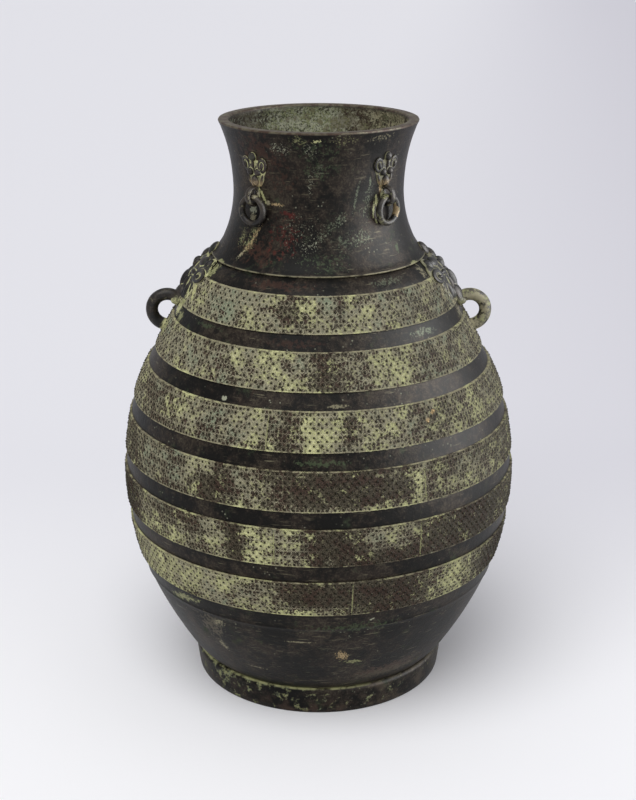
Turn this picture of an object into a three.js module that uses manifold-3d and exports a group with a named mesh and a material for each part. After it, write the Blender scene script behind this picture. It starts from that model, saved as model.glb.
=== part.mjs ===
// Hu wine jar in cast bronze: an ovoid belly with six raised bands on a foot ring, a flared neck,
// a fixed loop under an animal mask on each shoulder, and four small masks on the neck that each
// hold a loose ring. Millimetres, +Z up, origin at the centre of the foot ring's underside, front
// towards -Y. Directions round the jar are in degrees from +X towards +Y.
import * as THREE from "three";
import { mergeVertices } from "three/addons/utils/BufferGeometryUtils.js";
import Module from "manifold-3d";

const wasm = await Module();
wasm.setup();

// The body's outer curve, as height and radius, from the foot ring up to the lip
const curvePoints = [
  [20, 89.7], [30, 98], [60, 115], [90, 127.5], [120, 134.5], [155, 137.5], [190, 134], [220, 126],
  [250, 110.5], [280, 94], [299.6, 83.3], [309, 72.2], [318, 65.9], [323, 63.6], [331, 60.7],
  [341, 58.5], [353, 57.5], [370, 58.7], [385, 61.8], [400, 67],
];
const jarHeight = 400;
const facets = 36; // flat sides in one turn of the belly, neck and foot ring
const gap = 0.3; // clearance between pieces that touch
const fitGap = 0.4; // the same where a rounded piece is cut to a faceted one
const wall = 3; // thickness of the casting
const lipInner = 60; // inner radius of the flat lip
const lipRound = 0.8; // rounding of the lip's two edges
const floorTop = 18; // height of the floor inside
const floorUnder = 14; // height of the underside, within the foot ring

// Raised bands, as lower and upper height, and the line where the neck steps down to the shoulder
const bands = [[97.1, 123.1], [135.3, 161.4], [173, 199.1], [210.5, 234.6], [245, 267.7], [277.7, 299.6]];
const neckLine = 309;
const bandRise = 0.4; // raised surfaces stand this far outside the curve
const groundDrop = 0.8; // and the plain surfaces this far inside it

const wallAtNeckLine = 4.8; // horizontal thickness where the belly meets the neck, on a steep slope

// The belly's underside, as radius and height, from the axis to the rim that the foot ring carries
const underside = [[0, floorUnder], [81, floorUnder], [84.2, 15.4], [86.9, 18]];

// Foot ring
const footBottomRadius = 88.9;
const footTopRadius = 91;
const footTop = 19.3;
const footInnerRadius = 84.5;
const footShelfRadius = 82.4; // the top reaches in to here, under the belly
const footShelfUnder = 12;

// Fixed loop on each shoulder, in the upright plane through the jar's axis
const loopCentreRadius = 104.9;
const loopCentreHeight = 267.5;
const loopRadius = 10.9; // to the middle of the bar
const loopBar = 4.25; // half the bar's thickness
const shoulderDirections = { right: 0, left: 180 };

// Strap eye and loose ring on the neck
const neckDirections = { front_left: 226.5, front_right: 316.5, back_right: 46.5, back_left: 136.5 };
const ringTwists = { front_left: 9, front_right: 0, back_right: 0, back_left: 0 }; // how each ring hangs
const ringPivotRadius = 62.2; // the ring's bar sits here in the eye's hole
const ringPivotHeight = 355.4;
const ringRadius = 8.65;
const ringBar = 2.05;
const ringWiden = 1.25; // the ring is this much deeper than its bar is thick
const eyeCentreRadius = 60.9;
const eyeCentreHeight = 355.9;
const eyeRadius = 5.65; // to the middle of the strap
const eyeBar = 1.3; // half the strap's thickness
const eyeWiden = 1.65; // the strap is this much wider than it is thick

// Domed features of a mask: across, height, stand-off, then half sizes across, up and out
const shoulderDomes = [
  [0, 291, -1, 24, 18, 4], // face
  [0, 278, 0, 8, 9, 5.5], // muzzle
  [0, 288.5, 0.5, 3.8, 9, 5], // nose ridge
  [0, 302, -1, 14, 8, 3.8], // forehead
  [0, 310.5, 0, 5.5, 6, 3.4], // crest
  [22, 286.8, 0, 4.5, 7.5, 3.6], // cheeks
  [11.5, 291.2, 0, 3, 6.5, 4.4], // sides of the nose
  [13.5, 304, 0, 9, 5.5, 3.2], // forehead plates
  [25, 305.3, 0, 4.5, 6, 3], // ears
];
// Curled features, open in the middle: across, height, stand-off, radius to the bar and half its thickness
const shoulderCurls = [[28, 298, 0.6, 6.2, 2.4]];
const neckDomes = [
  [0, 372, 0, 8.5, 8, 3.2], // face
  [0, 365.5, 0.6, 3.2, 4.5, 4], // snout
  [0, 381.5, 0.6, 2.8, 3, 3.2], // top knob
  [3.2, 371.8, 1.4, 2.4, 2.6, 3], // eyes
];
const neckCurls = [[7, 376.5, 1, 3.2, 1.6]];

const bronze = { color: 0x3f382c, roughness: 0.42, metalness: 0.75 };
const patina = { color: 0x6d7556, roughness: 0.7, metalness: 0.35 };

function slopeAt(i) {
  const [lowHeight, lowRadius] = curvePoints[Math.max(i - 1, 0)];
  const [highHeight, highRadius] = curvePoints[Math.min(i + 1, curvePoints.length - 1)];
  return (highRadius - lowRadius) / (highHeight - lowHeight);
}

// Radius of the body's curve at a height, smooth through the curve's points
function curveRadius(height) {
  const above = curvePoints.findIndex(([pointHeight]) => pointHeight > height);
  const i = above < 0 ? curvePoints.length - 2 : Math.max(above - 1, 0);
  const [startHeight, startRadius] = curvePoints[i];
  const [endHeight, endRadius] = curvePoints[i + 1];
  const span = endHeight - startHeight;
  const t = (height - startHeight) / span;
  const ease = t * t * (3 - 2 * t);
  const bend = slopeAt(i) * t * (1 - t) ** 2 - slopeAt(i + 1) * t * t * (1 - t);
  return startRadius + (endRadius - startRadius) * ease + span * bend;
}

// Outside of the belly and shoulder, with its bands, moved out by an extra distance, as radius and height
function bellyOutside(extra, top) {
  const points = [];
  const add = (height, rise) => points.push([curveRadius(height) + rise + extra, height]);
  for (const height of [20, 30, 46, 70]) add(height, -groundDrop);
  for (const [low, high] of bands) {
    add(low, -groundDrop);
    add(low, bandRise);
    add((low + high) / 2, bandRise);
    add(high, bandRise);
    add(high, -groundDrop);
  }
  add(top, -groundDrop);
  return points;
}

// Outside of the neck from its lower edge, which steps out over the shoulder, to the lip
function neckOutside(extra) {
  const points = [[curveRadius(neckLine) + bandRise + extra, neckLine]];
  for (const height of [318, 325, 335, 348, 362, 375, 388, jarHeight - lipRound]) {
    points.push([curveRadius(height) + extra, height]);
  }
  return points;
}

// Inside of the casting at the given heights
function inside(heightsDown) {
  return heightsDown.map((height) => [curveRadius(height) - groundDrop - wall, height]);
}

function turned(points) {
  const profile = points.map(([radius, height]) => new THREE.Vector2(radius, height));
  return new THREE.LatheGeometry(profile, facets).rotateX(Math.PI / 2);
}

// A three.js geometry as a closed solid that can be joined and cut
function solid(geometry) {
  geometry.deleteAttribute("normal");
  geometry.deleteAttribute("uv");
  const merged = mergeVertices(geometry, 1e-4);
  const corners = merged.index.array;
  const triVerts = [];
  for (let i = 0; i < corners.length; i += 3) {
    const [a, b, c] = corners.slice(i, i + 3);
    if (a !== b && b !== c && c !== a) triVerts.push(a, b, c);
  }
  const mesh = new wasm.Mesh({
    numProp: 3,
    vertProperties: merged.attributes.position.array,
    triVerts: new Uint32Array(triVerts),
  });
  return new wasm.Manifold(mesh);
}

function geometryOf(shape) {
  const { vertProperties, triVerts } = shape.getMesh();
  const geometry = new THREE.BufferGeometry();
  geometry.setAttribute("position", new THREE.BufferAttribute(vertProperties, 3));
  geometry.setIndex(new THREE.BufferAttribute(triVerts, 1));
  geometry.computeVertexNormals();
  return geometry;
}

// Everything inside the jar's outer surface, grown by the gap, to cut what is fitted to it
function jarCutter() {
  const outside = [...bellyOutside(fitGap, neckLine), ...neckOutside(fitGap)];
  return solid(turned([[0, outside[0][1]], ...outside, [0, jarHeight - lipRound]]));
}

// Basis on the jar's surface: across, up the slope and out, with its origin lifted off the surface
function seat(direction, height, lift) {
  const angle = THREE.MathUtils.degToRad(direction);
  const slope = (curveRadius(height + 1) - curveRadius(height - 1)) / 2;
  const out = new THREE.Vector3(Math.cos(angle), Math.sin(angle), -slope).normalize();
  const across = new THREE.Vector3(-Math.sin(angle), Math.cos(angle), 0);
  const up = new THREE.Vector3().crossVectors(out, across);
  const radius = curveRadius(height);
  const place = new THREE.Vector3(radius * Math.cos(angle), radius * Math.sin(angle), height);
  return new THREE.Matrix4().makeBasis(across, up, out).setPosition(place.addScaledVector(out, lift));
}

// A ring of bar in the upright plane through the jar's axis, widened across that plane
function uprightRing(direction, centreRadius, height, radius, bar, steps, widen) {
  const angle = THREE.MathUtils.degToRad(direction);
  const ring = new THREE.TorusGeometry(radius, bar, 7, steps).rotateX(Math.PI / 2);
  ring.scale(1, widen, 1).rotateZ(angle);
  return ring.translate(centreRadius * Math.cos(angle), centreRadius * Math.sin(angle), height);
}

// An animal mask on the jar: its domes and curled rings joined, both sides alike
function mask(domes, curls, direction) {
  const shapes = [];
  const place = (make, across, height, lift) => {
    const turn = THREE.MathUtils.radToDeg(across / curveRadius(height));
    for (const side of across ? [-1, 1] : [1]) {
      shapes.push(solid(make().applyMatrix4(seat(direction + side * turn, height, lift))));
    }
  };
  for (const [across, height, lift, ...size] of domes) {
    place(() => new THREE.SphereGeometry(1, 8, 6).scale(...size), across, height, lift);
  }
  for (const [across, height, lift, radius, bar] of curls) {
    place(() => new THREE.TorusGeometry(radius, bar, 5, 9), across, height, lift);
  }
  return shapes.reduce((whole, shape) => whole.add(shape));
}

function bellyGeometry() {
  const top = neckLine - gap;
  const innerTop = [curveRadius(neckLine) - wallAtNeckLine, top];
  const down = inside([298, 270, 235, 195, 155, 115, 80, 50, 28]);
  const floor = [[84, 20.5], [74, 18.4], [0, floorTop]];
  return turned([...underside, ...bellyOutside(0, top), innerTop, ...down, ...floor]);
}

function neckGeometry() {
  const outside = neckOutside(0);
  const lip = [[curveRadius(jarHeight) - lipRound, jarHeight], [lipInner + lipRound, jarHeight]];
  const mouth = [lipInner, jarHeight - lipRound];
  const innerBottom = [curveRadius(neckLine) - wallAtNeckLine, neckLine];
  const down = inside([388, 370, 350, 330, 318]);
  return turned([...outside, ...lip, mouth, ...down, innerBottom, outside[0]]);
}

// The foot ring's top follows the belly's underside, a gap below it
function footGeometry() {
  const [, [, shelfTop], ...rim] = underside.map(([radius, height]) => [radius, height - fitGap]);
  return turned([
    [footInnerRadius, 0], [footBottomRadius, 0], [footTopRadius, footTop - 2.8],
    [footTopRadius - 0.7, footTop - 0.8], [footBottomRadius, footTop], [footBottomRadius - 0.5, footTop],
    ...rim.reverse(), [footShelfRadius, shelfTop + 0.6], [footShelfRadius, footShelfUnder],
    [footInnerRadius, 0],
  ]);
}

const group = new THREE.Group();

function addPiece(name, geometry, finish) {
  const piece = new THREE.Mesh(geometry, new THREE.MeshStandardMaterial(finish));
  piece.name = name;
  group.add(piece);
}

addPiece("jar_belly", bellyGeometry(), bronze);
addPiece("jar_neck", neckGeometry(), bronze);
addPiece("foot_ring", footGeometry(), patina);

const jar = jarCutter();

for (const [side, direction] of Object.entries(shoulderDirections)) {
  const loop = (extra) =>
    solid(uprightRing(direction, loopCentreRadius, loopCentreHeight, loopRadius, loopBar + extra, 22, 1));
  const face = mask(shoulderDomes, shoulderCurls, direction);
  addPiece(`shoulder_mask_${side}`, geometryOf(face.subtract(jar).subtract(loop(fitGap))), patina);
  addPiece(`shoulder_loop_${side}`, geometryOf(loop(0).subtract(jar)), bronze);
}

for (const [side, direction] of Object.entries(neckDirections)) {
  const eye = (extra) =>
    solid(uprightRing(direction, eyeCentreRadius, eyeCentreHeight, eyeRadius, eyeBar + extra, 18, eyeWiden));
  const face = mask(neckDomes, neckCurls, direction);
  addPiece(`neck_mask_${side}`, geometryOf(face.subtract(jar).subtract(eye(fitGap))), patina);
  addPiece(`neck_eye_${side}`, geometryOf(eye(0).subtract(jar)), bronze);
  const ringHeight = ringPivotHeight - ringRadius;
  const hung = uprightRing(90 + ringTwists[side], 0, ringHeight, ringRadius, ringBar, 20, ringWiden);
  hung.translate(ringPivotRadius, 0, 0).rotateZ(THREE.MathUtils.degToRad(direction));
  addPiece(`neck_ring_${side}`, hung, bronze);
}

export default group;
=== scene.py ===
import math
import bpy
import numpy as np
from mathutils import Matrix, Vector


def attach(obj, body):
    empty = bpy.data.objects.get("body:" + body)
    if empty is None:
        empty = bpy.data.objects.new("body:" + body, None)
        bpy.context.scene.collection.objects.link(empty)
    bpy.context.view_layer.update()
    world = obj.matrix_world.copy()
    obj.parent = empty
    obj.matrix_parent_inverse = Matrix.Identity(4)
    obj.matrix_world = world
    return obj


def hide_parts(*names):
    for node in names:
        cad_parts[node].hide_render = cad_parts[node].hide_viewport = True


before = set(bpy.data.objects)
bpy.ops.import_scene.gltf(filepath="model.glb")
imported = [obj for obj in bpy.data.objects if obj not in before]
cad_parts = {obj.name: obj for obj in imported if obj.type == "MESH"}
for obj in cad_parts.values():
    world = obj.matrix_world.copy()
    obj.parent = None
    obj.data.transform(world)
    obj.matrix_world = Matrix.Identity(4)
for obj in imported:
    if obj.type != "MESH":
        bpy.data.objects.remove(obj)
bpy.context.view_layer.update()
mm = 0.001

# The jar's outer curve, as heights and radii in millimetres, and what stands on it
jar = {
    "curve": [
        (20, 89.7), (30, 98), (60, 115), (90, 127.5), (120, 134.5), (155, 137.5), (190, 134), (220, 126),
        (250, 110.5), (280, 94), (299.6, 83.3), (309, 72.2), (318, 65.9), (323, 63.6), (331, 60.7),
        (341, 58.5), (353, 57.5), (370, 58.7), (385, 61.8), (400, 67),
    ],
    "bottom": 20,
    "top": 400,
    "groundDrop": 0.8,  # the plain surface lies this far inside the curve
    "neckLine": 309,  # lower edge of the neck, which steps out over the shoulder
    "neckRise": 0.5,
    "wall": 3.2,
    "lipInner": 60,
    "under": [(0, 14), (40, 14), (81, 14), (84.2, 15.4), (86.9, 18.2)],
    "floor": [(88.5, 23.5), (84, 20.2), (76, 18.6), (40, 18), (0, 18)],
    "bellyGap": 0.6,  # the belly's shell ends this far under the neck line
    "neckEdge": [(-0.9, -0.5), (-0.1, -0.35), (0.2, 0.2), (-0.3, 0.9)],
    "lipOutside": [(-0.3, 398.3), (0, 399.1), (-0.35, 399.8), (-1.2, 400), (-3.5, 399.9)],
    "lipInside": [(1.4, 400), (0.5, 399.7), (0, 398.9), (-0.3, 396.5)],
    "fineLine": 85,  # faint ridge low on the belly
    "fineRise": 0.35,
    # the crust inside lies between these heights, and sets in between these depths under the curve
    "insideSpan": (17, 398.6),
    "insideDepth": (1.8, 3),
    "waves": [(0.18, 3, 0.021, 0), (0.12, 7, -0.047, 1.3)],  # size, count round, twist and shift
    "bellyUneven": 1,
    "neckUneven": 0.1,
    "steps": 144,
}
# Faces that meet at less than these angles are shaded smooth
shading = {"cast": 50, "band": 42, "mask": 80, "loop": 60}


def curveRadius(height):
    points = jar["curve"]
    above = [i for i, point in enumerate(points) if point[0] > height]
    i = min(max((above[0] if above else len(points)) - 1, 0), len(points) - 2)

    def slopeAt(k):
        low = points[max(k - 1, 0)]
        high = points[min(k + 1, len(points) - 1)]
        return (high[1] - low[1]) / (high[0] - low[0])

    span = points[i + 1][0] - points[i][0]
    t = (height - points[i][0]) / span
    ease = t * t * (3 - 2 * t)
    bend = slopeAt(i) * t * (1 - t) ** 2 - slopeAt(i + 1) * t * t * (1 - t)
    return points[i][1] + (points[i + 1][1] - points[i][1]) * ease + span * bend


def curveSlope(height):
    return curveRadius(height + 0.5) - curveRadius(height - 0.5)


# A point on the jar's curve in metres, by degrees round from the front and height in millimetres
def onJar(degrees, height):
    radius = curveRadius(height) * mm
    turn = math.radians(degrees)
    return (radius * math.sin(turn), -radius * math.cos(turn), height * mm)


# Shader maths: a number in a material, written as plain arithmetic
class Number:
    def __init__(self, paint, socket):
        self.paint = paint
        self.socket = socket

    def worked(self, operation, first, second):
        made = self.paint.node("Math", {"operation": operation}, {0: first, 1: second})
        return Number(self.paint, made.outputs[0])

    def __add__(self, other):
        return self.worked("ADD", self, other)

    def __sub__(self, other):
        return self.worked("SUBTRACT", self, other)

    def __mul__(self, other):
        return self.worked("MULTIPLY", self, other)

    def __radd__(self, other):
        return self.worked("ADD", other, self)

    def __rsub__(self, other):
        return self.worked("SUBTRACT", other, self)

    def larger(self, other):
        return self.worked("MAXIMUM", self, other)


class Paint:
    def __init__(self, name):
        self.material = bpy.data.materials.new(name)
        self.material.use_nodes = True
        self.tree = self.material.node_tree
        self.tree.nodes.clear()
        self.place = self.node("TexCoord", {}, {}).outputs["Object"]
        self.clouds = {}

    def node(self, kind, settings, inputs):
        made = self.tree.nodes.new("ShaderNode" + kind)
        for setting, value in settings.items():
            setattr(made, setting, value)
        for key, value in inputs.items():
            if isinstance(value, Number):
                value = value.socket
            if isinstance(value, bpy.types.NodeSocket):
                self.tree.links.new(value, made.inputs[key])
            else:
                made.inputs[key].default_value = value
        return made

    # Cloudy noise whose blots are about size millimetres across, stretched along the three directions
    def noise(self, size, detail=3, rough=0.5, offset=0, stretch=(1, 1, 1)):
        key = (size, detail, rough, offset, stretch)
        if key not in self.clouds:
            scale = [1 / share for share in stretch]
            moved = self.node(
                "Mapping", {},
                {"Vector": self.place, "Scale": scale, "Location": (offset, offset * 0.7, offset * 0.3)})
            inputs = {"Vector": moved.outputs[0], "Scale": 1 / (size * mm), "Detail": detail, "Roughness": rough}
            self.clouds[key] = Number(self, self.node("TexNoise", {}, inputs).outputs["Fac"])
        return self.clouds[key]

    def cells(self, size):
        inputs = {"Vector": self.place, "Scale": 1 / (size * mm), "Randomness": 1}
        return Number(self, self.node("TexVoronoi", {"feature": "F1"}, inputs).outputs["Distance"])

    # 0 below low and 1 above high, eased between them
    def step(self, value, low, high):
        settings = {"interpolation_type": "SMOOTHSTEP"}
        inputs = {"Value": value, "From Min": low, "From Max": high}
        return Number(self, self.node("MapRange", settings, inputs).outputs["Result"])

    # Blots of noise with an edge that is eased from low to high
    def blots(self, low, high, *cloud):
        return self.step(self.noise(*cloud), low, high)

    # Mixes two colours or named tones, the second by its share
    def mix(self, share, first, second):
        first, second = (tones[tone] if isinstance(tone, str) else tone for tone in (first, second))
        inputs = {0: share, 6: first, 7: second}
        return self.node("Mix", {"data_type": "RGBA"}, inputs).outputs[2]

    def axes(self):
        parts = self.node("SeparateXYZ", {}, {0: self.place}).outputs
        return [Number(self, part) for part in parts]

    def attribute(self, name):
        made = self.node("Attribute", {"attribute_name": name}, {})
        return Number(self, made.outputs["Fac"])

    # Flecks that thin out round a spot on the jar, solid where dense is 0.5: degrees round from the
    # front, height, half width, half height and lean, then how dense and how large the flecks are
    def mark(self, degrees, height, wide, tall, lean, dense, grain):
        inputs = {
            "Vector": self.place, "Location": onJar(degrees, height),
            "Rotation": (0, math.radians(lean), math.radians(degrees)), "Scale": (wide * mm, 14 * mm, tall * mm),
        }
        near = self.node("Mapping", {"vector_type": "TEXTURE"}, inputs).outputs[0]
        away = self.node("VectorMath", {"operation": "LENGTH"}, {0: near}).outputs["Value"]
        share = 1 - self.step(away, 0, 1.4)
        return self.step(self.noise(grain, 4, 0.65) + share * dense, 0.6, 0.7) * self.step(share, 0, 0.3)

    # Adds a list of marks, each with its own tone and strength, over a colour
    def marks(self, base, rows):
        for tone, strength, *place in rows:
            base = self.mix(self.mark(*place) * strength, base, tone)
        return base

    def finish(self, colour, roughness, metallic, height, depth, shine=0.5):
        bump = self.node("Bump", {}, {"Height": height, "Distance": depth * mm, "Strength": 1})
        inputs = {"Base Color": colour, "Roughness": roughness, "Metallic": metallic, "Normal": bump.outputs[0]}
        shader = self.node("BsdfPrincipled", {}, inputs)
        shader.inputs["Specular IOR Level"].default_value = shine
        self.node("OutputMaterial", {}, {"Surface": shader.outputs[0]})
        return self.material


def colour(red, green, blue):
    def linear(c):
        c = c / 255
        return c / 12.92 if c <= 0.04045 else ((c + 0.055) / 1.055) ** 2.4

    return (linear(red), linear(green), linear(blue), 1)


# Finishes of the old bronze
shades = {
    "black": (14, 13, 11),
    "brown": (38, 31, 26),
    "rust": (66, 44, 35),
    "red": (84, 32, 28),
    "green": (70, 82, 58),
    "moss": (124, 132, 98),
    "teal": (117, 126, 104),
    "deposit": (150, 151, 108),
    "bright": (188, 188, 138),
    "buff": (152, 146, 118),
    "clay": (121, 116, 96),
    "cream": (192, 187, 162),
    "tan": (166, 144, 106),
    "chalk": (160, 162, 140),
    "dot": (22, 19, 7),
    "ground": (82, 76, 62),
    "umber": (72, 57, 48),
}
tones = {name: colour(*shade) for name, shade in shades.items()}


# Dark bronze with mottling, red and green bloom, flecks and streaks: colour, roughness, metal and height
def darkBronze(paint, redShare, greenShare):
    broad = paint.noise(38, 4, 0.6)
    fine = paint.noise(4.5, 5, 0.68, 3)
    grain = paint.noise(1.3, 3, 0.6, 5)
    base = paint.mix(paint.step(broad * 0.6 + fine * 0.4, 0.44, 0.6), "black", "brown")
    base = paint.mix(paint.step(grain * 0.4 + fine * 0.3 + broad * 0.3, 0.5, 0.62) * 0.35, base, "ground")
    redness = paint.step(paint.noise(30, 5, 0.62, 7) + redShare, 0.62, 0.78) * paint.step(fine, 0.3, 0.6)
    base = paint.mix(redness * 0.5, base, "rust")
    greenness = paint.step(paint.noise(15, 6, 0.7, 11) + greenShare, 0.58, 0.74)
    base = paint.mix(greenness * 0.45, base, "green")
    fleck = 1 - paint.step(paint.cells(3.4), 0.1, 0.2)
    fleck = fleck * paint.blots(0.54, 0.66, 13, 4, 0.6, 19)
    base = paint.mix(fleck * 0.5, base, "chalk")
    streak = paint.step(paint.noise(3, 3, 0.6, 23, (5, 5, 0.4)), 0.62, 0.72) * paint.step(broad, 0.42, 0.58)
    base = paint.mix(streak * 0.3, base, "buff")
    rough = 0.36 + fine * 0.2 + greenness * 0.2 + fleck * 0.3
    metal = 0.16 - greenness * 0.1 - fleck * 0.1
    height = broad * 0.6 + fine * 0.25 + grain * 0.12
    return base, rough, metal, height


def setAttribute(piece, name, values):
    layer = piece.data.attributes.get(name) or piece.data.attributes.new(name, "FLOAT", "POINT")
    layer.data.foreach_set("value", np.asarray(values, np.float32))


def pointsOf(piece):
    flat = np.zeros(len(piece.data.vertices) * 3)
    piece.data.vertices.foreach_get("co", flat)
    return flat.reshape(-1, 3)


def movePoints(piece, points):
    piece.data.vertices.foreach_set("co", points.ravel())
    piece.data.update()


def edit():
    bpy.ops.object.mode_set(mode="EDIT")
    bpy.ops.mesh.select_all(action="SELECT")


def settle(piece):
    bpy.ops.object.mode_set(mode="OBJECT")
    bpy.ops.object.transform_apply()
    return piece


def pick(*pieces):
    bpy.ops.object.select_all(action="DESELECT")
    for piece in pieces:
        piece.select_set(True)
    if pieces:
        bpy.context.view_layer.objects.active = pieces[0]


def smooth(piece, angle):
    pick(piece)
    bpy.ops.object.shade_smooth_by_angle(angle=math.radians(angle))


def joined(*pieces):
    pick(*pieces)
    bpy.ops.object.join()
    return pieces[0]


def remeshed(piece, voxel):
    pick(piece)
    remesh = piece.modifiers.new("Remesh", "REMESH")
    remesh.mode = "VOXEL"
    remesh.voxel_size = voxel * mm
    bpy.ops.object.modifier_apply(modifier="Remesh")
    soften = piece.modifiers.new("Soften", "SMOOTH")
    soften.factor = 0.5
    soften.iterations = 2
    bpy.ops.object.modifier_apply(modifier="Soften")
    return piece


def keep(piece, name, body, slotName, material, *nodes):
    piece.name = name
    piece.data.name = name
    piece.data.materials.clear()
    piece.data.materials.append(material)
    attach(piece, body)
    if nodes:
        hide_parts(*nodes)


def weld():
    bpy.ops.mesh.select_all(action="SELECT")
    bpy.ops.mesh.remove_doubles(threshold=1e-6)


# A profile drawn point by point in the upright plane and spun round the jar's axis
def spun(profile, steps=jar["steps"]):
    pick()
    startRadius, startHeight = profile[0]
    bpy.ops.mesh.primitive_plane_add(size=mm, location=(startRadius * mm, 0, startHeight * mm))
    piece = bpy.context.object
    edit()
    bpy.ops.mesh.merge(type="CENTER")
    for (radius, height), (nextRadius, nextHeight) in zip(profile, profile[1:]):
        shift = ((nextRadius - radius) * mm, 0, (nextHeight - height) * mm)
        bpy.ops.mesh.extrude_region_move(TRANSFORM_OT_translate={"value": shift})
    weld()
    bpy.ops.mesh.spin(steps=steps, angle=2 * math.pi, center=(0, 0, 0), axis=(0, 0, 1))
    weld()
    bpy.ops.mesh.normals_make_consistent(inside=False)
    return settle(piece)


def heights(low, high, pitch):
    count = max(2, round(abs(high - low) / pitch))
    return [low + (high - low) * i / count for i in range(count + 1)]


# Marks the faces inside the jar, and leaves the slight unevenness of a casting in long soft waves
def castSkin(piece, unevenness):
    points = pointsOf(piece) / mm
    radius = np.hypot(points[:, 0], points[:, 1])
    curve = np.array([curveRadius(height) for height in np.clip(points[:, 2], jar["bottom"], jar["top"])])
    low, high = jar["insideSpan"]
    within = (points[:, 2] > low) * (points[:, 2] < high)
    setAttribute(piece, "inside", np.interp(curve - radius, jar["insideDepth"], (0, 1)) * within)
    angle = np.arctan2(points[:, 1], points[:, 0])
    wave = 0
    for size, count, twist, shift in jar["waves"]:
        wave = wave + size * np.sin(count * angle + points[:, 2] * twist + shift)
    share = 1 + wave * unevenness / np.maximum(radius, 30)
    points[:, 0] *= share
    points[:, 1] *= share
    movePoints(piece, points * mm)
    smooth(piece, shading["cast"])
    return piece


def groundRadius(height):
    return curveRadius(height) - jar["groundDrop"]


def innerRadius(height):
    return groundRadius(height) - jar["wall"]


# Points of a profile from one height to another
def track(radiusAt, start, end, pitch):
    return [(radiusAt(height), height) for height in heights(start, end, pitch)]


# Belly: from the axis under the floor, up the outside to the neck line and down the inside
def makeBelly():
    line = jar["neckLine"] - jar["bellyGap"]
    fine = jar["fineLine"]
    crest = groundRadius(fine) + jar["fineRise"]
    profile = jar["under"] + track(groundRadius, jar["bottom"], fine - 1.2, 3)
    profile += [(crest, fine - 0.4), (crest, fine + 0.4)]
    profile += track(groundRadius, fine + 1.2, line, 3) + track(innerRadius, line, 29, 5) + jar["floor"]
    return castSkin(spun(profile), jar["bellyUneven"])


# Neck: up the outside from its stepped lower edge, over the flat lip and down the inside
def makeNeck():
    line = jar["neckLine"]
    edge = curveRadius(line) + jar["neckRise"]
    rim = curveRadius(jar["top"])
    profile = [(edge + out, line + up) for out, up in jar["neckEdge"]]
    for height in heights(line + 2, 396, 2.6):
        settleIn = max(0, 1 - (height - line) / 9) * jar["neckRise"]
        profile.append((curveRadius(height) + settleIn * 0.6, height))
    profile += [(rim + out, height) for out, height in jar["lipOutside"]]
    profile += [(jar["lipInner"] + out, height) for out, height in jar["lipInside"]]
    profile += track(innerRadius, 392, line - 0.5, 5)
    return castSkin(spun(profile + [profile[0]]), jar["neckUneven"])


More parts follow.
